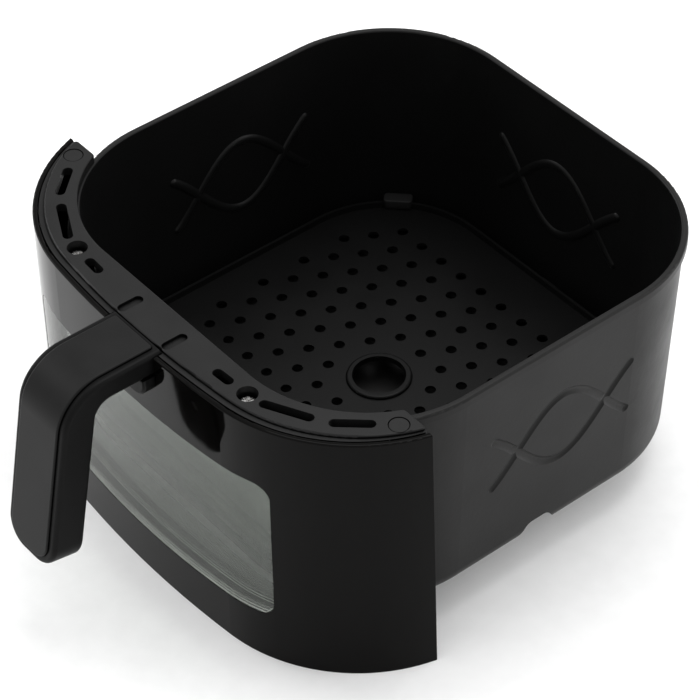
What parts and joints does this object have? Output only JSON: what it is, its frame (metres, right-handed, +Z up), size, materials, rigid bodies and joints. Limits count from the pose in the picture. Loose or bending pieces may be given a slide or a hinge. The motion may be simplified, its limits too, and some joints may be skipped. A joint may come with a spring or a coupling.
{
  "type": "air fryer drawer",
  "caption": "Air fryer drawer: tapered non-stick pan with a bowed glossy front, double window, drop handle and lift-out crisper plate.",
  "frame": {"origin": "bottom centre of the whole drawer's box, at the height of the front shell's lower edge", "axes": "+Z up, -Y towards the user through the handle, +X to the user's right"},
  "size_m": [0.2612, 0.3194, 0.1444],
  "materials": {
    "pan_coat": "satin black non-stick coating on sheet metal",
    "plate_coat": "satin black non-stick coating on sheet metal",
    "gloss_shell": "polished black",
    "satin_trim": "fine satin grain",
    "satin_handle": "fine satin grain",
    "satin_cover": "soft satin",
    "liner_plastic": "plain moulded",
    "window_glass": "clear tempered, faint green",
    "silicone": "matt",
    "bracket_steel": "plain sheet",
    "screw_steel": "bright"
  },
  "bodies": {
    "drawer": {"front_shell": "gloss_shell", "grip_screws": "screw_steel", "handle_body": "satin_handle", "handle_bracket": "bracket_steel", "handle_cover": "satin_cover", "handle_strap": "bracket_steel", "inner_cover": "liner_plastic", "inner_window": "window_glass", "inner_window_frame": "bracket_steel", "inner_window_seal": "silicone", "outer_window": "window_glass", "outer_window_frame": "liner_plastic", "outer_window_gasket": "silicone", "pan": "pan_coat", "pan_bracket_left": "bracket_steel", "pan_bracket_right": "bracket_steel", "shell_screws": "screw_steel", "strap_screws": "screw_steel", "top_trim": "satin_trim", "trim_plug_left": "satin_trim", "trim_plug_right": "satin_trim", "trim_screws": "screw_steel", "window_screws": "screw_steel"},
    "plate": {"crisper_plate": "plate_coat", "plate_bumper_front_left": "silicone", "plate_bumper_front_right": "silicone", "plate_bumper_rear_left": "silicone", "plate_bumper_rear_right": "silicone"}
  },
  "joints": [
    {"name": "plate_lift", "type": "slide", "parent": "drawer", "child": "plate", "axis": [0, 0, 1], "range_m": [0, 0.13]}
  ]
}
